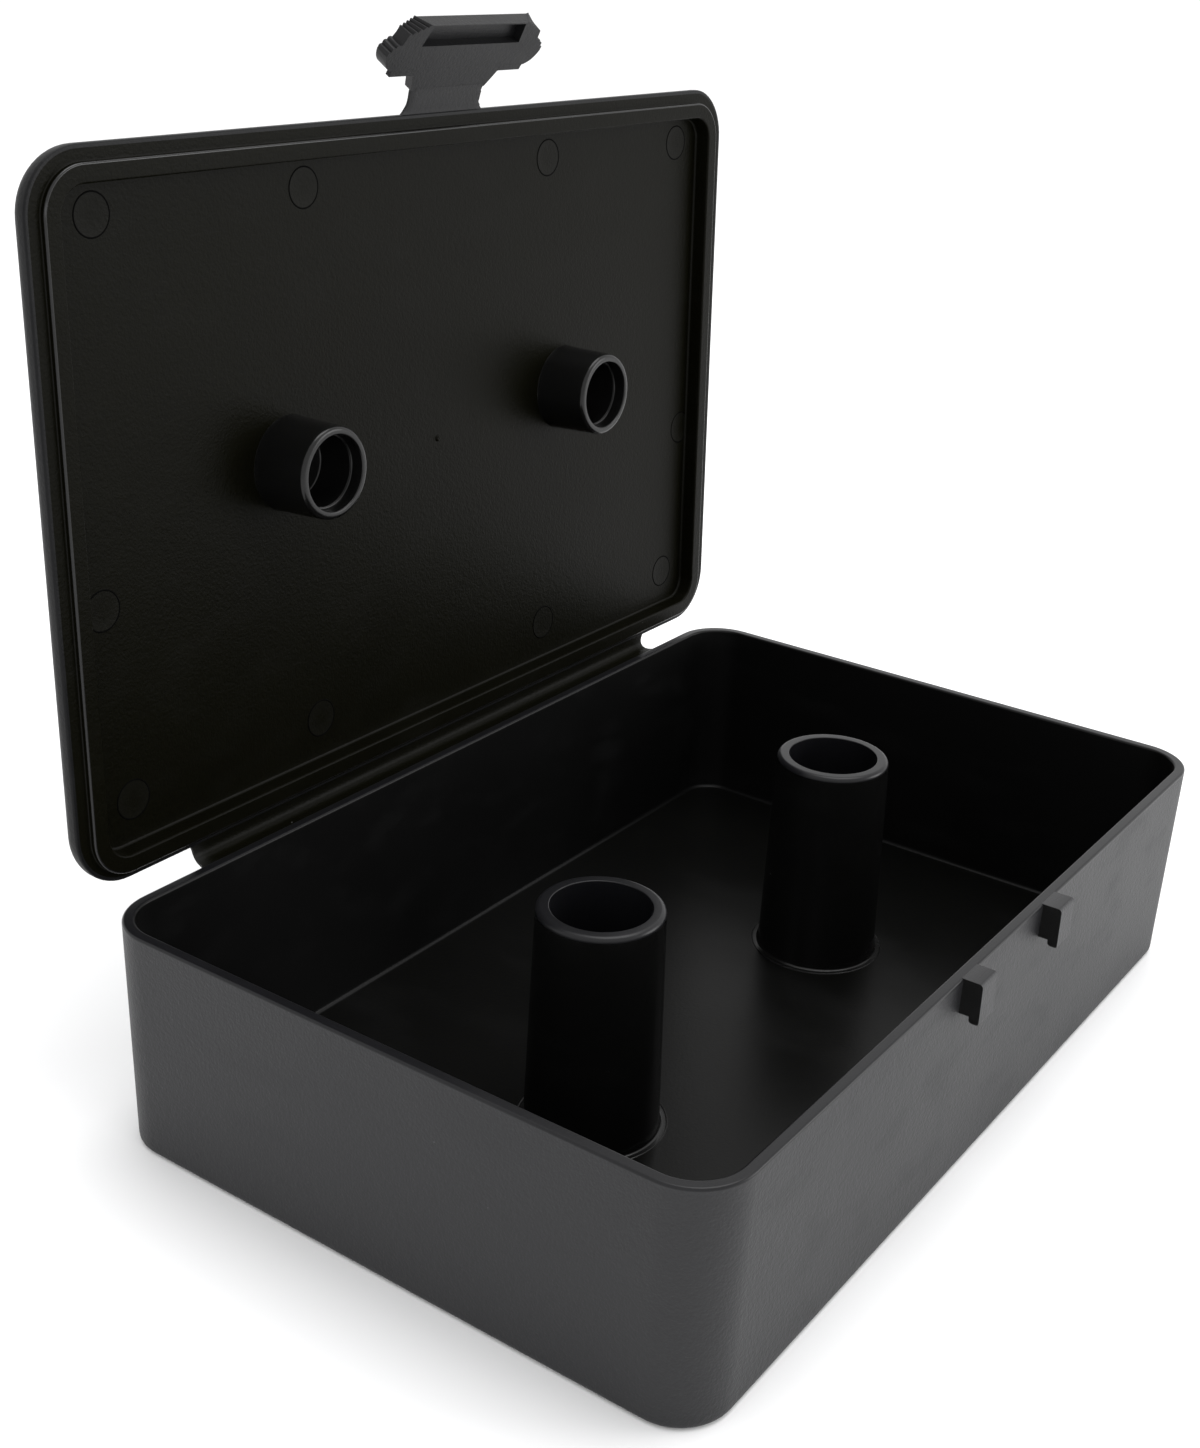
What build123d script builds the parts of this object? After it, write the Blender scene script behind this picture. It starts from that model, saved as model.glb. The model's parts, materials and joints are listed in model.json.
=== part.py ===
"""Moulded plastic battery box: a drafted tray with two hollow posts, and a lid on a living hinge.

The lid stands open.  Its two spigots plug into the posts when it is shut, and a folding T-shaped latch
then snaps under two hooks on the tray's front wall.

Frame: millimetres, +Z up, X along the hinge, latch side towards -Y, hinge side towards +Y.
The origin is the centre of the tray's underside.
"""

import os
from math import cos, radians, sin, tan

from build123d import *

os.makedirs("parts", exist_ok=True)

# Tray
box_length = 216.0  # outside of the rim, along the hinge
box_width = 139.5  # outside of the rim, front to back
tray_height = 48.8
draft_angle = 1.34  # the walls lean out from the underside to the rim
corner_radius = 12.0  # outside corners at the rim
wall = 2.5
floor_thickness = 2.3
bottom_edge_radius = 1.2

# Posts that stand on the floor
post_spacing = 92.4
post_offset = -3.95  # centre line of both posts, from the tray's centre
post_bore_radius = 10.15
post_wall = 2.7  # at the top
post_draft_angle = 1.2
post_bore_floor = 1.2  # material left above the tray's floor
post_edge_radius = 1.0
post_headroom = 0.35  # between a post's top and the shut lid's panel

# Lid, measured from its mating land, which meets the tray's rim
lid_open_angle = 91.5  # rest pose, counted from shut
lid_end_overhang = 0.4
lid_narrowing = 1.3  # the lid is this much narrower than the rim, front to back
seat_gap = 0.3  # between rim and land when shut
shut_inset = 1.4  # the shut lid's hinge edge lies this far inside the rim's outer face
panel_depth = 2.6  # the panel's inner face lies this far behind the land
panel_thickness = 2.0
lid_edge_radius = 3.5
lip_height = 1.2
lip_width = 3.6
lip_clearance = 0.45  # all round, between the lip and the tray's wall
lip_edge_radius = 0.4

# Spigots on the lid
spigot_reach = 10.2  # past the land
spigot_play = 0.1  # left beside the tip where its swing brings it nearest to the bore
spigot_draft_angle = 1.5
spigot_chamfer = 0.6
spigot_tip_wall = 1.7
spigot_mouth_depth = 3.0
spigot_bore_step = 0.5  # the bore narrows by this much behind its mouth
spigot_floor = 1.8  # material left above the panel's inner face

# Living hinge
web_reach = 2.95  # from the rim's outer face to the open lid's land
web_rise = 3.1  # from the rim up to the open lid's hinge edge
web_end_inset = 27.5  # from the ends of the rim
web_thickness = 0.9
web_ease = 0.85  # share of the reach over which the strip's inner face turns
web_outer_ease = 1.3  # its outer face turns over this much more

# Hooks on the tray's front wall, one each side of the latch's strap
hook_width = 6.6
hook_side_gap = 0.9  # beside the widest part of the latch's stem
hook_height = 7.5  # from the rim to the ledge that holds the latch
hook_lip_height = 1.3  # below the ledge
hook_lip_thickness = 2.1
hook_edge_radius = 0.6

# Latch: a thin strap that folds, then a stiff stem and a T-shaped handle
strap_width = 22.6
strap_root_flare = 2.2  # each side
strap_length = 4.4
strap_thickness = 0.9
strap_setback = 0.3  # the strap's inner face lies this far behind the land
strap_clearance = 0.4  # between the strap and the tray's wall when shut
strap_rest_fold = 17.5  # strap from the lid's plane
handle_rest_fold = 17.5  # handle from the strap's plane
fold_gap = 0.15  # between a folding line and the plastic on each side of it
stem_step = 0.4  # the stem is wider than the strap by this much, each side
stem_thickness = 2.0
stem_flare = 2.6  # the stem's width grows by this much towards the handle, each side
ledge_clearance = 0.4  # between the shoulders and the hooks' ledges when shut
lip_gap = 0.3  # between the handle's body and the hooks' lips when shut
shoulder_ledge_thickness = 1.1
shoulder_side_inset = 1.0  # from the hooks' outer sides
lobe_overhang = 3.7  # past the shoulders, each side, as are the next three
neck_overhang = 1.0
crown_overhang = 0.4
top_overhang = -4.4
lobe_height = 4.9  # above the stem, as are the next three
neck_height = 7.6
crown_height = 9.6
handle_height = 12.2
lobe_round_below = 0.9  # how far the arcs under and over a lobe's tip fall short of its width
lobe_round_above = 0.5
handle_thickness = 3.0
pocket_floor = 1.0
pocket_wall = 0.5
pocket_side_wall = 1.2  # from the ends of the handle's top edge
pocket_height = 4.6

# Worked out from the dimensions above
slope = tan(radians(draft_angle))
foot_inset = tray_height * slope
cavity_inset = wall + (tray_height - floor_thickness) * slope
lid_thickness = panel_depth + panel_thickness
lid_length = box_length + 2 * lid_end_overhang
lid_width = box_width - lid_narrowing
lip_inset = wall + lip_clearance
lip_length = box_length - 2 * lip_inset
lip_breadth = box_width - 2 * lip_inset
lip_radius = corner_radius - lip_inset
panel_length = lip_length - 2 * lip_width
panel_width = lip_breadth - 2 * lip_width
panel_radius = max(lip_radius - lip_width, 1.0)
post_top = tray_height + seat_gap + panel_depth - post_headroom
post_top_radius = post_bore_radius + post_wall
spigot_height = spigot_reach + panel_depth
# Along the lid, from its hinge edge
tray_middle_v = box_width / 2 - shut_inset  # above the tray's centre line when shut
spigot_v = tray_middle_v - post_offset
# The lid turns about the one line that carries its hinge edge from shut to open
shut_edge_y = tray_middle_v
shut_edge_z = tray_height + seat_gap
open_edge_y = box_width / 2 + web_reach
open_edge_z = tray_height + web_rise
half_turn = tan(radians(lid_open_angle / 2))
hinge_y = (open_edge_y + shut_edge_y + (open_edge_z - shut_edge_z) / half_turn) / 2
hinge_z = (open_edge_z + shut_edge_z - (open_edge_y - shut_edge_y) / half_turn) / 2
# A spigot's tip drifts sideways by this much as its swing carries it out of the bore
tip_drop = hinge_z - shut_edge_z + spigot_reach
spigot_swing_drift = tip_drop**2 / (2 * (hinge_y - post_offset))
spigot_tip_radius = post_bore_radius - spigot_play - spigot_swing_drift
spigot_mouth_radius = spigot_tip_radius - spigot_tip_wall
spigot_bore_radius = spigot_mouth_radius - spigot_bore_step
web_length = box_length - 2 * web_end_inset
stem_half_width = strap_width / 2 + stem_step
stem_length = seat_gap + strap_setback + hook_height - strap_length + ledge_clearance
hook_spacing = 2 * (stem_half_width + stem_flare + hook_side_gap) + hook_width
hook_depth = strap_clearance + shoulder_ledge_thickness + ledge_clearance + hook_lip_thickness
shoulder_half_width = (hook_spacing + hook_width) / 2 - shoulder_side_inset
shoulder_ledge_height = hook_lip_height - ledge_clearance + lip_gap
lobe_half_width = shoulder_half_width + lobe_overhang
top_half_width = shoulder_half_width + top_overhang


def wall_face(z):
    """How far the tray's outer wall stands from the centre plane, front or back, at a height."""
    return box_width / 2 - (tray_height - z) * slope


def leaf(y, z, angle):
    """Plane of a leaf that leaves (y, z) at an angle above the shut lid, its z towards the inside."""
    turn = radians(angle)
    return Plane(origin=(0, y, z), x_dir=(1, 0, 0), z_dir=(0, -sin(turn), -cos(turn)))


def finish(builder, name):
    """Label a finished piece and write it."""
    builder.part.label = name
    export_step(builder.part, f"parts/{name}.step")


# The land of the open lid, from its hinge edge
lid_plane = leaf(open_edge_y, open_edge_z, lid_open_angle)

# Tray: the whole moulding first, then the zones that it is divided into
with BuildPart() as tray:
    with BuildSketch():
        RectangleRounded(
            box_length - 2 * foot_inset,
            box_width - 2 * foot_inset,
            corner_radius - foot_inset,
        )
    extrude(amount=tray_height, taper=-draft_angle)
    fillet(tray.faces().sort_by(Axis.Z)[0].edges(), bottom_edge_radius)
    with BuildSketch(Plane.XY.offset(floor_thickness)):
        RectangleRounded(
            box_length - 2 * cavity_inset,
            box_width - 2 * cavity_inset,
            corner_radius - cavity_inset,
        )
    extrude(amount=tray_height - floor_thickness, taper=-draft_angle, mode=Mode.SUBTRACT)

with BuildPart() as tray_floor:
    add(tray.part)
    split(bisect_by=Plane.XY.offset(floor_thickness), keep=Keep.BOTTOM)
finish(tray_floor, "tray_floor")

with BuildPart() as wall_ring:
    add(tray.part)
    split(bisect_by=Plane.XY.offset(floor_thickness), keep=Keep.TOP)

end_cut = box_length / 2 - corner_radius - wall
for name, side in (("near_end_wall", -1), ("far_end_wall", 1)):
    with BuildPart() as end_wall:
        add(wall_ring.part)
        outer_side = Keep.TOP if side > 0 else Keep.BOTTOM
        split(bisect_by=Plane.YZ.offset(side * end_cut), keep=outer_side)
    finish(end_wall, name)

with BuildPart() as long_walls:
    add(wall_ring.part)
    split(bisect_by=Plane.YZ.offset(end_cut), keep=Keep.BOTTOM)
    split(bisect_by=Plane.YZ.offset(-end_cut), keep=Keep.TOP)

for name, side in (("front_wall", Keep.TOP), ("back_wall", Keep.BOTTOM)):
    with BuildPart() as long_wall:
        add(long_walls.part)
        split(bisect_by=Plane.XZ, keep=side)
    finish(long_wall, name)

# Posts: tapered tubes on the floor, open at the top
post_height = post_top - floor_thickness
post_root_radius = post_top_radius + post_height * tan(radians(post_draft_angle))
for name, side in (("near_post", -1), ("far_post", 1)):
    with BuildPart() as post:
        with BuildSketch(Plane.XY.offset(floor_thickness)):
            with Locations((side * post_spacing / 2, post_offset)):
                Circle(post_root_radius)
        extrude(amount=post_height, taper=post_draft_angle)
        fillet(post.edges().sort_by(Axis.Z)[-1], post_edge_radius)
        with BuildSketch(Plane.XY.offset(post_top)):
            with Locations((side * post_spacing / 2, post_offset)):
                Circle(post_bore_radius)
        extrude(amount=post_bore_floor - post_height, mode=Mode.SUBTRACT)
    finish(post, name)

# Hooks: blocks on the front wall, with a lip that hangs below the ledge
ledge_z = tray_height - hook_height
lip_z = ledge_z - hook_lip_height
hook_face = -box_width / 2 - hook_depth
for name, side in (("near_hook", -1), ("far_hook", 1)):
    with BuildPart() as hook:
        with BuildSketch(Plane.YZ.offset(side * hook_spacing / 2 - hook_width / 2)) as profile:
            with BuildLine():
                Polyline(
                    (-wall_face(tray_height), tray_height),
                    (hook_face, tray_height),
                    (hook_face, lip_z),
                    (hook_face + hook_lip_thickness, lip_z),
                    (hook_face + hook_lip_thickness, ledge_z),
                    (-wall_face(ledge_z), ledge_z),
                    close=True,
                )
            make_face()
            outer_corners = profile.vertices().group_by(Axis.X)[0]
            tip_corner = profile.vertices().group_by(Axis.Y)[0].sort_by(Axis.X)[-1]
            fillet(outer_corners + [tip_corner], hook_edge_radius)
        extrude(amount=hook_width)
    finish(hook, name)

# Living hinge: a thin strip from the rim's outer edge to the lid's land, bent by the angle the lid stands at
lid_down = Vector(0, lid_plane.y_dir.Y, lid_plane.y_dir.Z) * -1
web_bend = web_reach * web_ease
with BuildPart() as hinge_web:
    with BuildSketch(Plane.YZ.offset(-web_length / 2)):
        with BuildLine():
            rim_in = Vector(wall_face(tray_height), tray_height)
            rim_out = Vector(wall_face(tray_height - web_thickness), tray_height - web_thickness)
            lid_back = lid_plane.from_local_coords(Vector(0, 0, -web_thickness))
            lid_in = Vector(open_edge_y, open_edge_z)
            lid_out = Vector(lid_back.Y, lid_back.Z)
            along_rim = Vector(web_bend, 0)
            along_lid = Vector(lid_down.Y, lid_down.Z) * web_bend
            Bezier(rim_in, rim_in + along_rim, lid_in + along_lid, lid_in)
            Line(lid_in, lid_out)
            lid_turn = lid_out + along_lid * web_outer_ease
            rim_turn = rim_out + along_rim * web_outer_ease
            Bezier(lid_out, lid_turn, rim_turn, rim_out)
            Line(rim_out, rim_in)
        make_face()
    extrude(amount=web_length)
finish(hinge_web, "hinge_web")

# Lid: panel, the thicker rim around it, and the lip that drops inside the tray's walls
with BuildPart() as lid_panel:
    with BuildSketch(lid_plane.offset(-lid_thickness)):
        with Locations((0, tray_middle_v)):
            RectangleRounded(panel_length, panel_width, panel_radius)
    extrude(amount=panel_thickness)
finish(lid_panel, "lid_panel")

with BuildPart() as lid_rim:
    with BuildSketch(lid_plane.offset(-lid_thickness)):
        with Locations((0, lid_width / 2)):
            RectangleRounded(lid_length, lid_width, corner_radius)
    extrude(amount=lid_thickness)
    outer_face = lid_rim.faces().sort_by(Axis(lid_plane.origin, lid_plane.z_dir))[0]
    fillet(outer_face.edges(), lid_edge_radius)
    with BuildSketch(lid_plane.offset(-lid_thickness)):
        with Locations((0, tray_middle_v)):
            RectangleRounded(panel_length, panel_width, panel_radius)
    extrude(amount=lid_thickness, mode=Mode.SUBTRACT)
finish(lid_rim, "lid_rim")

with BuildPart() as lid_lip:
    with BuildSketch(lid_plane):
        with Locations((0, tray_middle_v)):
            RectangleRounded(lip_length, lip_breadth, lip_radius)
            RectangleRounded(panel_length, panel_width, panel_radius, mode=Mode.SUBTRACT)
    extrude(amount=lip_height)
    top_face = lid_lip.faces().sort_by(Axis(lid_plane.origin, lid_plane.z_dir))[-1]
    fillet(top_face.edges(), lip_edge_radius)
finish(lid_lip, "lid_lip")

# Spigots: tapered tubes on the panel that enter the posts' bores, each turned about its own centre line
spigot_root_radius = spigot_tip_radius + spigot_height * tan(radians(spigot_draft_angle))
mouth_floor = spigot_height - spigot_mouth_depth
for name, side in (("near_spigot", -1), ("far_spigot", 1)):
    foot = lid_plane.from_local_coords(Vector(side * post_spacing / 2, spigot_v, -panel_depth))
    section = Plane(origin=foot, x_dir=(1, 0, 0), z_dir=-lid_plane.y_dir)
    with BuildPart() as spigot:
        with BuildSketch(section):
            with BuildLine():
                Polyline(
                    (0, 0),
                    (spigot_root_radius, 0),
                    (spigot_tip_radius, spigot_height - spigot_chamfer),
                    (spigot_tip_radius - spigot_chamfer, spigot_height),
                    (spigot_mouth_radius, spigot_height),
                    (spigot_mouth_radius, mouth_floor),
                    (spigot_bore_radius, mouth_floor),
                    (spigot_bore_radius, spigot_floor),
                    (0, spigot_floor),
                    close=True,
                )
            make_face()
        revolve(axis=Axis(foot, lid_plane.z_dir))
    finish(spigot, name)

# Latch strap: the thin tongue that folds beside the lid's edge
fold_v = tray_middle_v + box_width / 2 + strap_clearance
fold_line = lid_plane.from_local_coords(Vector(0, fold_v, -strap_setback))
strap_plane = leaf(fold_line.Y, fold_line.Z, lid_open_angle - strap_rest_fold)
with BuildPart() as latch_strap:
    with BuildSketch(strap_plane.offset(-strap_thickness)):
        with BuildLine():
            Polyline(
                (-strap_width / 2 - strap_root_flare, fold_gap),
                (strap_width / 2 + strap_root_flare, fold_gap),
                (strap_width / 2, strap_length - fold_gap),
                (-strap_width / 2, strap_length - fold_gap),
                close=True,
            )
        make_face()
    extrude(amount=strap_thickness)
finish(latch_strap, "latch_strap")

# Latch handle: stem, shoulders that catch behind the hooks' lips, lobes, crown and a cored pocket
stem_line = strap_plane.from_local_coords(Vector(0, strap_length, 0))
handle_plane = leaf(stem_line.Y, stem_line.Z, lid_open_angle - strap_rest_fold - handle_rest_fold)
shoulder_z = stem_length + shoulder_ledge_height
with BuildPart() as latch_handle:
    with BuildSketch(handle_plane.offset(-stem_thickness)):
        with BuildLine():
            Polyline(
                (-stem_half_width, fold_gap),
                (stem_half_width, fold_gap),
                (stem_half_width + stem_flare, shoulder_z),
                (-stem_half_width - stem_flare, shoulder_z),
                close=True,
            )
        make_face()
    extrude(amount=stem_thickness)
    with BuildSketch(handle_plane.offset(-shoulder_ledge_thickness)):
        with Locations((0, stem_length)):
            Rectangle(
                2 * shoulder_half_width,
                shoulder_ledge_height,
                align=(Align.CENTER, Align.MIN),
            )
    extrude(amount=shoulder_ledge_thickness)
    with BuildSketch(handle_plane.offset(-handle_thickness)):
        with BuildLine():
            foot = (shoulder_half_width, shoulder_z)
            lobe = (lobe_half_width, stem_length + lobe_height)
            neck = (shoulder_half_width + neck_overhang, stem_length + neck_height)
            crown = (shoulder_half_width + crown_overhang, stem_length + crown_height)
            top = (top_half_width, stem_length + handle_height)
            below = (lobe_half_width - lobe_round_below, (shoulder_z + lobe[1]) / 2)
            above = (lobe_half_width - lobe_round_above, (lobe[1] + neck[1]) / 2)
            Line((0, shoulder_z), foot)
            ThreePointArc(foot, below, lobe)
            ThreePointArc(lobe, above, neck)
            Line(neck, crown)
            Line(crown, top)
            Line(top, (0, stem_length + handle_height))
            mirror(about=Plane.YZ)
        make_face()
    extrude(amount=handle_thickness)
    with BuildSketch(handle_plane):
        with Locations((0, stem_length + handle_height - pocket_wall)):
            Rectangle(
                2 * (top_half_width - pocket_side_wall),
                pocket_height,
                align=(Align.CENTER, Align.MAX),
            )
    extrude(amount=pocket_floor - handle_thickness, mode=Mode.SUBTRACT)
finish(latch_handle, "latch_handle")
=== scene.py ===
"""A moulded battery box standing open on a pale floor in soft studio light.

Lengths are in millimetres in the part's own frame until a mesh is made, which turns them into metres.
"""

import json
import math

import bmesh
import bpy
from mathutils import Matrix, Vector
from mathutils.geometry import tessellate_polygon


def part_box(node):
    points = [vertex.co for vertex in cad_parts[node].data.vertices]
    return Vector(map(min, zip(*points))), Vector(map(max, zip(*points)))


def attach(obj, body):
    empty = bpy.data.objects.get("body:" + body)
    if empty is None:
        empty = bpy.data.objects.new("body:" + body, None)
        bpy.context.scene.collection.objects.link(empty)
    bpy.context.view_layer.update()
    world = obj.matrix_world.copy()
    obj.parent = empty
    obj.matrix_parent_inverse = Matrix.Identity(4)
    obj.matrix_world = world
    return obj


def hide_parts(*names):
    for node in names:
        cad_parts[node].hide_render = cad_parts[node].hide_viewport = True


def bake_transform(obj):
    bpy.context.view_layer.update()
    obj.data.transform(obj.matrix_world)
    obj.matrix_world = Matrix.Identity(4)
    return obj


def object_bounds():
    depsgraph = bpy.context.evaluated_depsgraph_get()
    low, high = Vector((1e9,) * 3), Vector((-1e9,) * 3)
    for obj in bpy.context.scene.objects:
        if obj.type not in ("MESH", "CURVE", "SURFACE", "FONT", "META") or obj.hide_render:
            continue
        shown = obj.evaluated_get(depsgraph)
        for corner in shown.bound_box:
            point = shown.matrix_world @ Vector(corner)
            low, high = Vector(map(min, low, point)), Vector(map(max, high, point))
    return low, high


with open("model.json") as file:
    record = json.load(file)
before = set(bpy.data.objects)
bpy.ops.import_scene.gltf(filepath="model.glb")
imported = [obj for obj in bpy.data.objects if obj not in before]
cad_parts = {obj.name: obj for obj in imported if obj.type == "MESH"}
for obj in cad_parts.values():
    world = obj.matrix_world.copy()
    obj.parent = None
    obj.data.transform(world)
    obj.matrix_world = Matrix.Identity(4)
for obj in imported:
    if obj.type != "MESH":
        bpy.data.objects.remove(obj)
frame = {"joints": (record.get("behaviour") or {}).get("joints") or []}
cad_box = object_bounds()
scene = bpy.context.scene
joints = {joint["name"]: joint for joint in frame["joints"]}


# Camera: a little above the box, off its near end and latch side, close enough to show perspective.
# The lens is slightly shifted so that the box fills the tall frame.
box_length_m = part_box("near_end_wall")[0].x * -2
eye = Vector((-1.46715, -0.868559, 1.073475)) * box_length_m
look_at = Vector((0, 0, 0.3)) * box_length_m
aim = (look_at - eye).to_track_quat("-Z", "Y").to_matrix()
trim = Vector((-0.0501451, -0.0487886, -0.071849))
trim_turn = Matrix.Rotation(-trim.length, 3, trim.normalized())
camera = bpy.data.objects.new("camera", bpy.data.cameras.new("camera"))
camera.location = eye
camera.rotation_euler = (aim @ trim_turn).to_euler()
camera.data.lens = 47.54
camera.data.sensor_width = 36.0
camera.data.shift_x = -0.0179
camera.data.shift_y = -0.0429
camera.data.clip_start = 0.01
camera.data.clip_end = 50.0
scene.collection.objects.link(camera)
scene.camera = camera


# Light: a soft panel off the latch side, a larger one high over the box, and a white room all round.
def soft_panel(name, place, target, width, power):
    """A square light panel that faces a point."""
    panel = bpy.data.objects.new(name, bpy.data.lights.new(name, "AREA"))
    panel.data.size = width
    panel.data.energy = power
    panel.location = place
    panel.rotation_euler = (Vector(target) - Vector(place)).to_track_quat("-Z", "Y").to_euler()
    scene.collection.objects.link(panel)


soft_panel("side_panel", (0.85, -1.10, 0.45), (0, 0, 0.05), 0.7, 6.5)
soft_panel("top_panel", (0.25, -0.10, 1.40), (0, 0, 0.05), 0.9, 9.5)

room = bpy.data.worlds.new("white_room")
room.use_nodes = True
room.node_tree.nodes["Background"].inputs["Color"].default_value = (1.0, 1.0, 1.0, 1.0)
room.node_tree.nodes["Background"].inputs["Strength"].default_value = 1.12
scene.world = room
scene.view_settings.view_transform = "Standard"


# Tray: the deep half of the moulding, all one shot of carbon-black polypropylene. Its walls lean out by a
# small draft from a flat underside to a rounded rim. The finishes differ only in how the steel behind
# them was left: spark-eroded outside, drawn smooth inside, polished round the rim.
class Wire:
    """A socket in a finish's node tree. Arithmetic on it adds Math nodes; make() adds any other node."""

    def __init__(self, tree, socket=None):
        self.tree = tree
        self.socket = socket

    def make(self, kind, settings, inputs, output=0):
        """Adds a node: its settings first, then the values or wires of its sockets."""
        node = self.tree.nodes.new("ShaderNode" + kind)
        for key, value in settings.items():
            if key == "stops":
                for stop, (place, shade) in zip(node.color_ramp.elements, value):
                    stop.position = place
                    stop.color = (shade, shade, shade, 1.0)
            else:
                setattr(node, key, value)
        for key, value in inputs.items():
            if isinstance(value, Wire):
                self.tree.links.new(value.socket, node.inputs[key])
            else:
                node.inputs[key].default_value = value
        return Wire(self.tree, node.outputs[output]) if node.outputs else None

    def math(self, operation, *values):
        return self.make("Math", {"operation": operation}, dict(enumerate(values)))

    def __add__(self, other):
        return self.math("ADD", self, other)

    def __sub__(self, other):
        return self.math("SUBTRACT", self, other)

    def __mul__(self, other):
        return self.math("MULTIPLY", self, other)

    def __rsub__(self, other):
        return self.math("SUBTRACT", other, self)

    __radd__ = __add__
    __rmul__ = __mul__


def polypropylene(name, tone, roughness, grain, rub, shine, drawn=0.0, pale_edge=0.0):
    """Black polypropylene. Tone is its colour; grain is the depth of the eroded texture and drawn that of
    the lines left by pulling it off the steel, both in millimetres; rub is how far handling dulls it;
    pale_edge is how far its edges are worn pale."""
    finish = bpy.data.materials.new(name)
    finish.use_nodes = True
    tree = finish.node_tree
    tree.nodes.clear()
    start = Wire(tree)
    place = start.make("TexCoord", {}, {}, "Object")

    def cloud(per_metre, detail, stretch=(1.0, 1.0, 1.0)):
        spread = start.make("VectorMath", {"operation": "MULTIPLY"}, {0: place, 1: stretch})
        return start.make("TexNoise", {}, {"Vector": spread, "Scale": per_metre, "Detail": detail})

    fine = cloud(per_metre=1900.0, detail=2.0)
    coarse = cloud(per_metre=900.0, detail=2.0)
    lines = cloud(per_metre=700.0, detail=2.0, stretch=(1.0, 1.0, 0.035))
    patches = cloud(per_metre=28.0, detail=4.0)
    smears = cloud(per_metre=60.0, detail=5.0, stretch=(1.0, 0.5, 2.0))
    scuffs = start.make("ValToRGB", {"stops": ((0.52, 0.0), (0.72, 1.0))}, {"Fac": smears})
    dust_per_metre = 95.0
    dust_size = 0.022
    bare_share = 0.62
    grains = start.make("TexVoronoi", {}, {"Vector": place, "Scale": dust_per_metre})
    rare = start.make("TexVoronoi", {}, {"Vector": place, "Scale": dust_per_metre}, "Color")
    specks = start.math("LESS_THAN", grains, dust_size) * start.math("GREATER_THAN", rare, bare_share)
    edges = start.make(
        "ValToRGB",
        {"stops": ((0.51, 0.0), (0.60, 1.0))},
        {"Fac": start.make("NewGeometry", {}, {}, "Pointiness")},
    )
    worn = edges * (0.4 + 0.6 * patches)

    dust_colour = (0.16, 0.16, 0.165, 1.0)
    worn_colour = (0.20, 0.20, 0.205, 1.0)
    tone_shift = 0.37 + 0.36 * patches + 0.9 * fine
    plain = start.make("VectorMath", {"operation": "SCALE"}, {0: tone, "Scale": tone_shift})
    dusty = start.make(
        "Mix",
        {"data_type": "RGBA"},
        {"Factor": specks * 0.5 + scuffs * (0.03 * rub), 6: plain, 7: dust_colour},
        2,
    )
    colour = start.make(
        "Mix",
        {"data_type": "RGBA"},
        {"Factor": worn * pale_edge, 6: dusty, 7: worn_colour},
        2,
    )
    gloss = roughness + 0.10 * (patches - 0.5) + 0.12 * rub * scuffs - 0.4 * pale_edge * worn
    smear_depth = 0.004
    relief = fine * (0.55 * grain) + coarse * (0.45 * grain) + lines * drawn + smears * smear_depth
    bump = start.make("Bump", {}, {"Height": relief, "Distance": 0.001, "Strength": 1.0})
    surface = start.make(
        "BsdfPrincipled",
        {},
        {"Base Color": colour, "Roughness": gloss, "Normal": bump, "Specular IOR Level": shine},
    )
    start.make("OutputMaterial", {}, {"Surface": surface})
    return finish


mm = 0.001
mm_per_metre = 1000


def solid(name, points, faces, finishes, finish_of=None):
    """A mesh object from points in millimetres."""
    mesh = bpy.data.meshes.new(name)
    mesh.from_pydata([Vector(point) * mm for point in points], [], faces)
    for finish in finishes:
        mesh.materials.append(finish)
    if finish_of:
        mesh.polygons.foreach_set("material_index", finish_of)
    mesh.polygons.foreach_set("use_smooth", [True] * len(mesh.polygons))
    mesh.update()
    made = bpy.data.objects.new(name, mesh)
    scene.collection.objects.link(made)
    return made


def skin(name, rings, finishes, band_finish=None):
    """A closed surface stretched over rings of equally many points, flat at both ends."""
    count = len(rings[0])
    points = [point for ring in rings for point in ring]
    faces, finish_of = [], []
    band_finish = band_finish or [0] * (len(rings) - 1)
    for band in range(len(rings) - 1):
        here, there = band * count, (band + 1) * count
        for i in range(count):
            j = (i + 1) % count
            faces.append((here + i, here + j, there + j, there + i))
            finish_of.append(band_finish[band])
    faces.append(tuple(range(count - 1, -1, -1)))
    faces.append(tuple(range(len(points) - count, len(points))))
    finish_of += [band_finish[0], band_finish[-1]]
    made = solid(name, points, faces, finishes, finish_of)
    made.data.set_sharp_from_angle(angle=math.radians(40))
    weighted = made.modifiers.new("even_shading", "WEIGHTED_NORMAL")
    weighted.weight = 100
    weighted.keep_sharp = True
    return made


def arc(centre, radius, start, end, steps=6):
    """Points of an arc, its angles in degrees."""
    turns = [math.radians(start + (end - start) * i / steps) for i in range(steps + 1)]
    return [(centre[0] + radius * math.cos(t), centre[1] + radius * math.sin(t)) for t in turns]


def rounded_ring(half_length, half_width, radius, corner_steps=14, long_steps=64, short_steps=40):
    """A rounded rectangle, counter-clockwise, with points spread evenly along its sides."""
    ring = []
    middle = (half_length - radius, half_width - radius)
    signs = ((1, 1), (-1, 1), (-1, -1), (1, -1))
    for corner, (sx, sy) in enumerate(signs):
        centre = (sx * middle[0], sy * middle[1])
        ring += arc(centre, radius, 90 * corner, 90 * (corner + 1), corner_steps)
        ahead = signs[(corner + 1) % 4]
        to = (ahead[0] * middle[0], ahead[1] * middle[1])
        steps = short_steps if corner % 2 else long_steps
        first = ring[-1]
        for i in range(1, steps):
            share = i / steps
            ring.append((first[0] + (to[0] - centre[0]) * share, first[1] + (to[1] - centre[1]) * share))
    return ring


def box_of(node):
    """Lowest and highest corners of a node of the part, in millimetres."""
    low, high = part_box(node)
    return low * mm_per_metre, high * mm_per_metre


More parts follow.
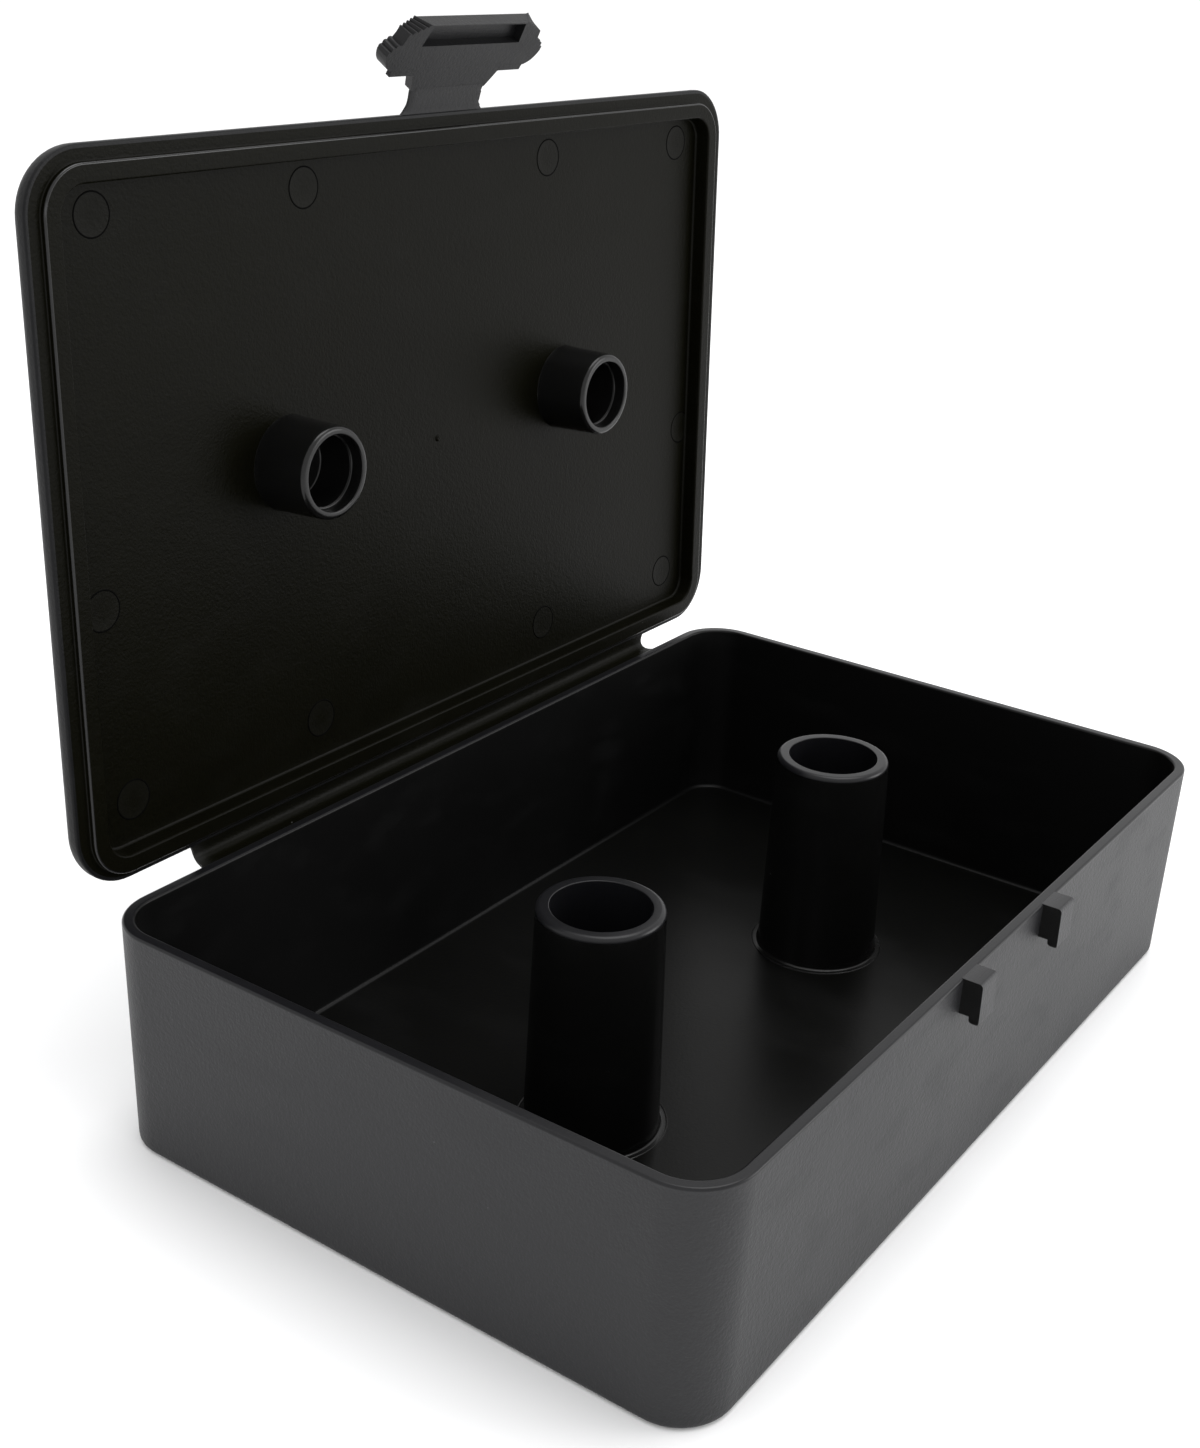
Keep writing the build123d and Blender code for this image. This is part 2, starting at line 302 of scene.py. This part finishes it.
wall_low, wall_high = box_of("near_end_wall")
tray_height = wall_high.z
half_length = -wall_low.x
half_width = wall_high.y
bed = box_of("tray_floor")[1].z
corner_radius = 12.0
draft = math.tan(math.radians(1.34))
wall = 2.5
wall_levels = (8.0, 18.0, 28.0, 38.0)
below_rim = tray_height - 1.5
foot_radius = 1.2
rim_radius = 0.55
bed_radius = 0.9


def lean(z):
    """How far the draft carries a wall in from its place at the rim."""
    return (tray_height - z) * draft


outline = [(lean(0) + foot_radius, 0.0)]
outline += arc((lean(0) + foot_radius, foot_radius), foot_radius, 270, 180)[1:]
outline += [(lean(z), z) for z in (2.0, *wall_levels, below_rim)]
outside_bands = len(outline)
outline += arc((rim_radius, tray_height - rim_radius), rim_radius, 180, 90)
outline += arc((wall - rim_radius, tray_height - rim_radius), rim_radius, 90, 0)
rim_bands = len(outline)
outline += [(wall + lean(z), z) for z in (below_rim, *reversed(wall_levels), bed + 1.6)]
outline += arc((wall + lean(bed) + bed_radius, bed + bed_radius), bed_radius, 180, 270)
inside_bands = len(outline)
outline += [(wall + lean(bed) + bed_radius + 0.4, bed)]
tray_rings = []
for inset, z in outline:
    ring = rounded_ring(half_length - inset, half_width - inset, max(corner_radius - inset, 3.2))
    tray_rings.append([(x, y, z) for x, y in ring])
rim_edge_bands = 5
band_finish = [0] * outside_bands + [1] * (rim_bands - outside_bands - rim_edge_bands)
band_finish += [2] * rim_edge_bands
band_finish += [2] * (inside_bands - rim_bands - 1) + [3]
eroded = polypropylene(
    "eroded_outside",
    tone=(0.0096, 0.0098, 0.0112),
    roughness=0.50,
    grain=0.190,
    rub=0.5,
    shine=0.37,
    pale_edge=0.15,
)
glossy_rim = polypropylene(
    "glossy_rim",
    tone=(0.005, 0.005, 0.006),
    roughness=0.30,
    grain=0.012,
    rub=0.4,
    shine=0.24,
    pale_edge=0.12,
)
drawn_inside = polypropylene(
    "drawn_inside",
    tone=(0.0028, 0.0028, 0.0028),
    roughness=0.36,
    grain=0.020,
    rub=0.4,
    shine=0.15,
    drawn=0.006,
)
floor_finish = polypropylene(
    "tray_bed",
    tone=(0.0024, 0.0024, 0.0022),
    roughness=0.31,
    grain=0.030,
    rub=0.35,
    shine=0.118,
)
tray = skin("tray", tray_rings, [eroded, glossy_rim, drawn_inside, floor_finish], band_finish)
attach(tray, "base")
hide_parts("tray_floor", "front_wall", "back_wall", "near_end_wall", "far_end_wall")


# Posts: two tapered tubes that grow from the floor, open at the top, with a rounded outer edge there and
# a witness line round the foot where the core pin met the floor.
def turned_rings(profile, place, steps=72):
    """Rings of a turned piece: each (radius, height) swept round, then put in place."""
    angles = [2 * math.pi * i / steps for i in range(steps)]
    return [[place(r * math.cos(a), r * math.sin(a), h) for a in angles] for r, h in profile]


post_bore = 10.15
post_top_wall = 2.7
post_draft = math.tan(math.radians(1.2))
post_bore_floor = bed + 1.2
post_foot = bed + 0.02
foot_fillet = 0.6
witness_line = 0.14
top_round = 1.1
mouth_round = 0.2
bore_fillet = 0.6
turned = polypropylene(
    "turned_posts",
    tone=(0.0036, 0.0036, 0.0035),
    roughness=0.24,
    grain=0.012,
    rub=0.3,
    shine=0.30,
    drawn=0.005,
)
for name in ("near_post", "far_post"):
    low, high = box_of(name)
    centre = (low + high) / 2
    top = high.z
    top_radius = post_bore + post_top_wall
    root_radius = top_radius + (top - bed) * post_draft
    witness_radius = root_radius + 1.45
    profile = [(witness_radius + 0.3, bed - 0.1), (witness_radius + 0.25, post_foot)]
    profile += arc((witness_radius, post_foot), witness_line, 0, 180, 4)
    profile += [(witness_radius - 0.25, post_foot)]
    profile += arc((root_radius + foot_fillet, post_foot + foot_fillet), foot_fillet, 270, 180)[:-1]
    profile += [(root_radius - (z - bed) * post_draft, z) for z in (bed + 1.0, 12, 24, 36, top - 1.6)]
    profile += arc((top_radius - top_round, top - top_round), top_round, 0, 90)
    profile += arc((post_bore + mouth_round, top - mouth_round), mouth_round, 90, 180)
    profile += [(post_bore, top - 1.2), (post_bore, 30.0), (post_bore, 10.0)]
    profile += arc((post_bore - bore_fillet, post_bore_floor + bore_fillet), bore_fillet, 0, -90)
    profile += [(post_bore - 1.2, post_bore_floor)]
    rings = turned_rings(profile, lambda x, y, z, c=centre: (c.x + x, c.y + y, z))
    at_top = [1 if z > top - 1.3 else 0 for _, z in profile[:-1]]
    post = skin(name + "_tube", rings, [turned, glossy_rim], at_top)
    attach(post, "base")
    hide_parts(name)


# Hooks: two blocks under the rim on the front wall, each with a lip that hangs down behind the latch's
# shoulders. They are moulded with the wall, so a small radius blends them into it.
def plate(outlines, place, low, high):
    """Points and faces of a flat plate with holes: its outlines, moved by place, between two depths."""
    flat = [point for loop in outlines for point in loop]
    loops = [[Vector((x, y, 0)) for x, y in loop] for loop in outlines]
    caps = tessellate_polygon(loops)
    count = len(flat)
    points = [place(x, y, low) for x, y in flat] + [place(x, y, high) for x, y in flat]
    faces = []
    for a, b, c in caps:
        faces += [(a, b, c), (count + c, count + b, count + a)]
    start = 0
    for loop in outlines:
        for i in range(len(loop)):
            a, b = start + i, start + (i + 1) % len(loop)
            faces.append((a, a + count, b + count, b))
        start += len(loop)
    return points, faces


def soften(piece, width, segments=3):
    """Rounds a piece's sharp edges and evens its shading."""
    bevel = piece.modifiers.new("rounded_edges", "BEVEL")
    bevel.width = width * mm
    bevel.segments = segments
    bevel.limit_method = "ANGLE"
    bevel.angle_limit = math.radians(28)
    weighted = piece.modifiers.new("even_shading", "WEIGHTED_NORMAL")
    weighted.weight = 100
    weighted.keep_sharp = True


def face_outwards(piece):
    """Turns every face of a closed mesh to the outside."""
    work = bmesh.new()
    work.from_mesh(piece.data)
    bmesh.ops.remove_doubles(work, verts=work.verts, dist=1e-6)
    bmesh.ops.recalc_face_normals(work, faces=work.faces)
    work.to_mesh(piece.data)
    work.free()


hook_ledge = 7.5
hook_lip_thickness = 2.1
root_depth = 1.2
hook_top = tray_height - 0.02
top_corner = 0.8
lip_outer_corner = 0.5
lip_inner_corner = 0.7
for name in ("near_hook", "far_hook"):
    low, high = box_of(name)
    lip = low.y + hook_lip_thickness
    into_wall = root_depth - half_width
    profile = [(into_wall, hook_top)]
    profile += arc((low.y + top_corner, hook_top - top_corner), top_corner, 90, 180, 5)
    profile += arc((low.y + lip_outer_corner, low.z + lip_outer_corner), lip_outer_corner, 180, 270, 4)
    profile += arc((lip - lip_inner_corner, low.z + lip_inner_corner), lip_inner_corner, 270, 360, 4)
    profile += [(lip, tray_height - hook_ledge), (into_wall, tray_height - hook_ledge)]
    points, faces = plate([profile], lambda y, z, x: (x, y, z), low.x, high.x)
    hook = solid(name + "_block", points, faces, [eroded, turned, glossy_rim])
    face_outwards(hook)
    for side in hook.data.polygons:
        if abs(side.normal.x) > 0.9:
            side.material_index = 1
        elif side.normal.z > 0.9:
            side.material_index = 2
    soften(hook, 0.35)
    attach(hook, "base")
    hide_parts(name)


# Lid: a shallow shell with a deep radius round its outer face, a flat land that meets the tray's rim, and
# a low lip inside the land that drops between the tray's walls. Its inside carries the ejector marks.
open_angle = math.radians(joints["lid_hinge"]["range_deg"][1])
along_lid = Vector((0, -math.cos(open_angle), math.sin(open_angle)))
into_lid = Vector((0, -math.sin(open_angle), -math.cos(open_angle)))
lid_low, lid_high = box_of("lid_rim")
lid_edge = Vector((0, lid_low.y, lid_low.z + 0.03))


def place_along_lid(node):
    """How far along the lid, from its hinge edge, the middle of one of its nodes lies."""
    low, high = box_of(node)
    return ((low + high) / 2 - lid_edge).dot(along_lid)


def on_lid(u, v, w):
    """A point of the lid: u along the hinge, v from its hinge edge, w above the land, towards its inside."""
    return lid_edge + Vector((u, 0, 0)) + along_lid * v + into_lid * w


lid_half_length = lid_high.x
lid_half_width = (lid_high.z - lid_edge.z) / along_lid.z / 2
lip_middle = place_along_lid("lid_lip")
panel_depth = 2.6
lid_thickness = 4.6
lid_edge_radius = 3.5
land_corner = 0.4
lip_inset = 2.95
lip_height = 1.2
lip_width = 3.6
lip_inner = lip_inset + lip_width
lip_outer_corner = 0.4
lip_inner_corner = 0.45
lip_corner_steps = 6
panel_fillet = 0.5
outline = [(lid_edge_radius + 8.0, -lid_thickness), (lid_edge_radius + 1.0, -lid_thickness)]
outline += arc((lid_edge_radius, lid_edge_radius - lid_thickness), lid_edge_radius, 270, 180, 10)
outline += [(0.0, -0.7)]
outline += arc((land_corner, -land_corner), land_corner, 180, 90, 4)
outside_bands = len(outline)
outline += [(0.8, 0.0), (lip_inset - 0.5, 0.0)]
outline += arc((lip_inset - 0.2, 0.2), 0.2, 270, 360, 3)
lip_bands = len(outline)
lip_centre = (lip_inset + lip_outer_corner, lip_height - lip_outer_corner)
outline += arc(lip_centre, lip_outer_corner, 180, 90, lip_corner_steps)
outline += [(lip_inset + 1.6, lip_height), (lip_inner - 1.2, lip_height)]
outline += arc((lip_inner - lip_inner_corner, lip_height - lip_inner_corner), lip_inner_corner, 90, 0, 5)
outline += [(lip_inner + 0.1, 0.0), (lip_inner + 0.2, -panel_depth + 0.7)]
outline += arc((lip_inner + 0.7, -panel_depth + panel_fillet), panel_fillet, 180, 270, 5)
outline += [(lip_inner + 1.6, -panel_depth), (lip_inner + 3.0, -panel_depth)]
lid_rings = []
for number, (inset, w) in enumerate(outline):
    if number <= outside_bands:
        across, middle = (lid_half_length - inset, lid_half_width - inset), lid_half_width
    else:
        across, middle = (half_length - inset, half_width - inset), lip_middle
    ring = rounded_ring(across[0], across[1], max(corner_radius - inset, 1.6))
    lid_rings.append([on_lid(x, middle + y, w) for x, y in reversed(ring)])
# Painted shade: the lid's outer face takes a darker copy of the eroded outside finish, its tone lowered so
# that the face reads as shaded.
lid_outside = polypropylene(
    "lid_outside",
    tone=(0.0040, 0.0041, 0.0046),
    roughness=0.44,
    grain=0.110,
    rub=0.4,
    shine=0.15,
    pale_edge=0.12,
)
lid_inside = polypropylene(
    "lid_inside",
    tone=(0.0023, 0.0022, 0.0008),
    roughness=0.38,
    grain=0.110,
    rub=0.15,
    shine=0.050,
    pale_edge=0.12,
)
polished_edge = polypropylene(
    "polished_edge",
    tone=(0.005, 0.005, 0.005),
    roughness=0.28,
    grain=0.006,
    rub=0.3,
    shine=0.36,
    pale_edge=0.2,
)
band_finish = [0] * outside_bands + [1] * (len(outline) - outside_bands)
band_finish[lip_bands:lip_bands + lip_corner_steps] = [2] * lip_corner_steps
lid = skin("lid_shell", lid_rings, [lid_outside, lid_inside, polished_edge], band_finish)
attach(lid, "lid")
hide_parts("lid_panel", "lid_rim", "lid_lip")

# Ejector marks: ten pins push the lid off the steel, and each leaves a shallow disc with a fine ring.
mark_radius = 4.0
mark_steps = 40
# Painted shade: each mark's fine ring is a low ridge painted near-black and almost unreflecting, standing in
# for the shade in the line round the pin.
mark_edge = polypropylene(
    "mark_edge",
    tone=(0.0008, 0.0008, 0.0007),
    roughness=0.60,
    grain=0.010,
    rub=0.2,
    shine=0.02,
)
paired_marks = ((92.0, 125.7), (39.5, 125.9), (92.0, 14.3), (39.5, 14.3))
marks = [(side * u, v) for side in (-1, 1) for u, v in paired_marks]
marks += [(-96.0, 54.0), (98.5, 52.5)]
for number, (u, v) in enumerate(marks, 1):
    profile = [(mark_radius + 0.17, -0.05), (mark_radius + 0.14, 0.04), (mark_radius + 0.04, 0.10)]
    profile += [(mark_radius - 0.08, 0.09), (mark_radius - 0.17, 0.02), (0.6, 0.015)]
    rings = turned_rings(
        profile,
        lambda x, y, h, u=u, v=v: on_lid(u - x, v + y, h - panel_depth),
        mark_steps,
    )
    mark = skin(f"ejector_mark_{number:02d}", rings, [lid_inside, mark_edge], [1, 1, 1, 1, 0])
    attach(mark, "lid")

# Gate mark: the stub of plastic left at the middle of the lid, where the mould was filled.
stub = [(0.75, -0.1), (0.7, 0.05), (0.55, 0.3), (0.3, 0.42), (0.1, 0.36)]
stub_steps = 20
rings = turned_rings(stub, lambda x, y, h: on_lid(-x, lip_middle + y, h - panel_depth), stub_steps)
gate_mark = skin("gate_mark", rings, [lid_inside])
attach(gate_mark, "lid")


# Spigots: two hollow pegs on the lid that plug into the posts. Each has a bevelled tip and a stepped bore.
reach = 10.2
spigot_draft = math.tan(math.radians(1.5))
tip_wall = 1.7
bore_step = 0.5
tip_round = 0.9
mouth_round = 0.3
for name in ("near_spigot", "far_spigot"):
    low, high = box_of(name)
    centre = (low + high) / 2
    v_middle = place_along_lid(name)
    root_radius = (high.x - low.x) / 2
    tip_radius = root_radius - (reach + panel_depth) * spigot_draft
    mouth = tip_radius - tip_wall
    bore = mouth - bore_step
    profile = [(root_radius + 0.15, -panel_depth - 0.1), (root_radius + 0.03, -panel_depth + 0.15)]
    profile += [(root_radius - 0.02, -panel_depth + 1.4), (tip_radius + 0.13, reach - 5.0)]
    profile += [(tip_radius + 0.04, reach - 1.5)]
    profile += arc((tip_radius - tip_round, reach - tip_round), tip_round, 0, 90, 6)
    profile += arc((mouth + mouth_round, reach - mouth_round), mouth_round, 90, 180, 4)
    profile += [(mouth, reach - 0.8), (mouth, reach - 2.6)]
    profile += arc((mouth - 0.25, reach - 2.75), 0.25, 0, -90, 3)
    profile += arc((bore + 0.1, reach - 3.1), 0.1, 90, 180, 3)
    profile += [(bore, reach - 4.0), (bore, reach - 10.2)]
    profile += arc((bore - 0.5, reach - 10.5), 0.5, 0, -90, 4)
    profile += [(bore - 1.2, reach - 11.0)]
    rings = turned_rings(profile, lambda x, y, h, c=centre: on_lid(c.x - x, v_middle + y, h))
    spigot = skin(name + "_tube", rings, [turned])
    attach(spigot, "lid")
    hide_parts(name)


# Hinge web: a thin strip of the same plastic between the rim and the lid. It folds along one line, and
# its ends are rounded hollows, as the slots beside it are.
def strip(name, path, thickness, ends_at, finish, steps):
    """A strip that follows a path of (point, outward direction), as thick as given and as wide as asked."""
    rings = []
    lengths = [0.0]
    edge = 0.18
    for (here, _), (there, _) in zip(path, path[1:]):
        lengths.append(lengths[-1] + (there - here).length)
    for (point, outward), length in zip(path, lengths):
        low_x, high_x = ends_at(length / lengths[-1])
        ring = []
        columns = [low_x + (high_x - low_x) * i / steps for i in range(steps + 1)]
        for x in columns:
            ring.append(point + Vector((x, 0, 0)) + outward * (edge if x in (low_x, high_x) else 0.0))
        for x in reversed(columns):
            inset = edge if x in (low_x, high_x) else 0.0
            ring.append(point + Vector((x, 0, 0)) + outward * (thickness - inset))
        rings.append(ring)
    made = skin(name, rings, [finish])
    face_outwards(made)
    return made


def curve_through(start, corner, end, ease, steps=10):
    """Points along two straight runs joined by a smooth bend that starts ease before their corner."""
    before = corner + (start - corner).normalized() * ease
    after = corner + (end - corner).normalized() * ease
    bend = []
    for i in range(steps + 1):
        t = i / steps
        bend.append(before * (1 - t) ** 2 + corner * (2 * t * (1 - t)) + after * t**2)
    lead_in = [start.lerp(before, i / 4) for i in range(4)]
    lead_out = [after.lerp(end, i / 4) for i in range(1, 5)]
    return lead_in + bend + lead_out


def with_outward(points, first_outward):
    """Pairs each point of a path in the YZ plane with the direction square to it, on one side."""
    pairs = []
    for i, point in enumerate(points):
        step = (points[min(i + 1, len(points) - 1)] - points[max(i - 1, 0)]).normalized()
        square = Vector((0, step.z, -step.y))
        pairs.append((point, square if square.dot(first_outward) > 0 else -square))
    return pairs


web_low, web_high = box_of("hinge_web")
web_thickness = 0.9
web_steps = 60
web_height = tray_height - 0.03
bend_ease = 2.2
bend_steps = 16
web_start = Vector((0, half_width - 0.7, web_height))
web_corner = Vector((0, lid_edge.y, web_height))
web_end = lid_edge + along_lid * 0.9 + into_lid * -0.03
web_line = curve_through(web_start, web_corner, web_end, bend_ease, bend_steps)
web_path = with_outward(web_line, Vector((0, 0.7, -0.7)))
end_hollow = 1.5
end_reach = 0.6
hollow_share = 0.42


def web_ends(share):
    """Where the web ends to the left and right, at a share of the way from the tray to the lid."""
    off_middle = min(abs(share - 0.5) / hollow_share, 1.0)
    hollow = end_hollow * math.sqrt(1 - off_middle**2)
    return web_low.x - end_reach + hollow, web_high.x + end_reach - hollow


web = strip("hinge_web_strip", web_path, web_thickness, web_ends, lid_inside, web_steps)
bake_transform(web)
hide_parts("hinge_web")


# Latch strap: a thin tongue of the lid's rim that folds at its root and again where the stem begins. It
# is one strip of plastic; the two pieces meet halfway along it.
def leaf_directions(angle_degrees):
    """Directions along a leaf and towards its inside, for a leaf at an angle above the shut lid."""
    angle = math.radians(angle_degrees)
    lengthways = Vector((0, -math.cos(angle), math.sin(angle)))
    inwards = Vector((0, -math.sin(angle), -math.cos(angle)))
    return lengthways, inwards


strap_degrees = joints["lid_hinge"]["range_deg"][1] + joints["strap_fold"]["range_deg"][0]
handle_degrees = strap_degrees + joints["handle_fold"]["range_deg"][0]
strap_fold = Vector(joints["strap_fold"]["pos_m"]) * mm_per_metre
stem_fold = Vector(joints["handle_fold"]["pos_m"]) * mm_per_metre
along_strap, into_strap = leaf_directions(strap_degrees)
along_handle, into_handle = leaf_directions(handle_degrees)
strap_thickness = 0.9
strap_half_width = 11.3
strap_steps = 24
root_flare = 3.0
stem_widening = 0.4
fold_ease = 0.9
flexed = polypropylene(
    "flexed_latch",
    tone=(0.0072, 0.0072, 0.0078),
    roughness=0.44,
    grain=0.110,
    rub=0.6,
    shine=0.21,
)
strap_middle = (strap_fold + stem_fold) / 2
overlap = along_strap * 0.5
lower_path = curve_through(strap_fold - along_lid * 1.3, strap_fold, strap_middle + overlap, fold_ease)
upper_path = curve_through(strap_middle - overlap, stem_fold, stem_fold + along_handle * 1.0, fold_ease)


def root_ends(share):
    """Ends of the strap's lower piece, which flares where it leaves the lid."""
    flare = root_flare * (1 - min(share / 0.9, 1.0)) ** 2.2
    return -strap_half_width - flare, strap_half_width + flare


def tip_ends(share):
    """Ends of the strap's upper piece, which widens a little to meet the stem."""
    flare = stem_widening * max((share - 0.4) / 0.6, 0.0)
    return -strap_half_width - flare, strap_half_width + flare


strap_root = strip(
    "latch_strap_root",
    with_outward(lower_path, -into_lid),
    strap_thickness,
    root_ends,
    flexed,
    strap_steps,
)
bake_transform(strap_root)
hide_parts("latch_strap")
strap_tip = strip(
    "latch_strap_tip",
    with_outward(upper_path, -into_strap),
    strap_thickness,
    tip_ends,
    flexed,
    strap_steps,
)
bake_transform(strap_tip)


# Latch handle: a stiff stem that widens into shoulders, which catch behind the hooks' lips, then two
# round lobes and a crown with grip ribs on its sloping sides. A pocket cored from its inside keeps it thin.
def on_handle(u, h, w):
    """A point of the handle: u along the hinge, h above the stem's fold, w towards its inside."""
    return stem_fold + Vector((u, 0, 0)) + along_handle * h + into_handle * w


stem_half_width = 11.7
stem_flare = 2.6
stem_length = 4.1
stem_thickness = 2.0
stem_start = 0.25
shoulder_half_width = 20.8
ledge_height = 1.2
ledge_thickness = 1.1
handle_thickness = 3.0
rib_depth = 0.48
lobe_tip = (shoulder_half_width + 3.7, stem_length + 4.9)
neck = (shoulder_half_width + 1.0, stem_length + 7.6)
crown = (shoulder_half_width + 0.4, stem_length + 9.6)
crest = (shoulder_half_width - 4.4, stem_length + 12.2)
foot = (shoulder_half_width, stem_length + ledge_height)


def bowed(start, end, bulge, steps, ribs=0):
    """Points of a shallow arc between two points, its middle pushed out to the right of the way, with
    rounded grip ribs on it if asked."""
    start, end = Vector(start), Vector(end)
    side = Vector(((end - start).y, -(end - start).x)).normalized()
    points = []
    for i in range(steps + 1):
        share = i / steps
        rib = rib_depth * (abs(math.sin(math.pi * ribs * share)) - 0.5) if ribs else 0.0
        points.append(tuple(start.lerp(end, share) + side * (bulge * 4 * share * (1 - share) + rib)))
    return points


right_side = bowed(foot, lobe_tip, bulge=0.8, steps=8)
right_side += bowed(lobe_tip, neck, bulge=0.5, steps=18, ribs=3)[1:]
right_side += [((neck[0] + crown[0]) / 2 - 0.3, (neck[1] + crown[1]) / 2)]
right_side += bowed(crown, crest, bulge=0.0, steps=30, ribs=5)
left_side = [(-u, h) for u, h in reversed(right_side)]
body_outline = right_side + left_side
pocket_wall = 1.0
pocket_top = crest[1] - 0.5
pocket_foot = pocket_top - 4.6
foot_reach = 15.5
top_reach = 14.6
pocket = [
    (-foot_reach, pocket_foot),
    (foot_reach, pocket_foot),
    (top_reach, pocket_top),
    (-top_reach, pocket_top),
]


def handle_part(name, outlines, deep, shallow):
    """One flat zone of the handle, between two depths below its inner face."""
    points, faces = plate(outlines, on_handle, deep, shallow)
    part = solid(name, points, faces, [flexed])
    face_outwards(part)
    return part


handle = handle_part("latch_handle_body", [body_outline], -handle_thickness, 0.0)
zone_overlap = 0.4
crown_spread = 1.3
for vertex in handle.data.vertices:
    from_fold = vertex.co * mm_per_metre - stem_fold
    rise = (from_fold.dot(along_handle) - crown[1]) / (crest[1] - crown[1])
    depth = 0.5 + from_fold.dot(into_handle) / handle_thickness
    side = 1 if vertex.co.x > 0 else -1
    vertex.co.x -= side * crown_spread * (2 * mm) * depth * max(rise, 0.0)
stem = handle_part(
    "stem_zone",
    [
        [
            (-stem_half_width, stem_start),
            (stem_half_width, stem_start),
            (stem_half_width + stem_flare, foot[1] + zone_overlap),
            (-stem_half_width - stem_flare, foot[1] + zone_overlap),
        ]
    ],
    -stem_thickness,
    0.0,
)
ledge = handle_part(
    "ledge_zone",
    [
        [
            (-shoulder_half_width, stem_length),
            (shoulder_half_width, stem_length),
            (shoulder_half_width, foot[1] + zone_overlap),
            (-shoulder_half_width, foot[1] + zone_overlap),
        ]
    ],
    -ledge_thickness,
    0.0,
)
core = handle_part("pocket_core", [pocket], pocket_wall - handle_thickness, 1.0)
for other, operation in ((stem, "UNION"), (ledge, "UNION"), (core, "DIFFERENCE")):
    cut = handle.modifiers.new("shape", "BOOLEAN")
    cut.operation = operation
    cut.solver = "EXACT"
    cut.object = other
bpy.context.view_layer.update()
shaped = bpy.data.meshes.new_from_object(handle.evaluated_get(bpy.context.evaluated_depsgraph_get()))
handle.modifiers.clear()
handle.data = shaped
for other in (stem, ledge, core):
    bpy.data.objects.remove(other)
for face in handle.data.polygons:
    is_broad_side = abs(face.normal.dot(into_handle)) >= 0.99
    face.use_smooth = not is_broad_side
soften(handle, 0.22, segments=2)
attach(handle, "handle")
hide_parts("latch_handle")


# Floor: a plain pale sheet under the box.
floor_half = 6.0
floor_gap = 0.0002
sheet = bpy.data.meshes.new("studio_floor")
corners = [(-floor_half, -floor_half, 0), (floor_half, -floor_half, 0), (floor_half, floor_half, 0)]
sheet.from_pydata(corners + [(-floor_half, floor_half, 0)], [], [(0, 1, 2, 3)])
pale = bpy.data.materials.new("pale_paper")
pale.use_nodes = True
pale_surface = pale.node_tree.nodes["Principled BSDF"]
pale_surface.inputs["Base Color"].default_value = (0.95, 0.95, 0.955, 1.0)
pale_surface.inputs["Roughness"].default_value = 0.85
sheet.materials.append(pale)
studio_floor = bpy.data.objects.new("studio_floor", sheet)
studio_floor.location.z = cad_box[0].z - floor_gap
scene.collection.objects.link(studio_floor)
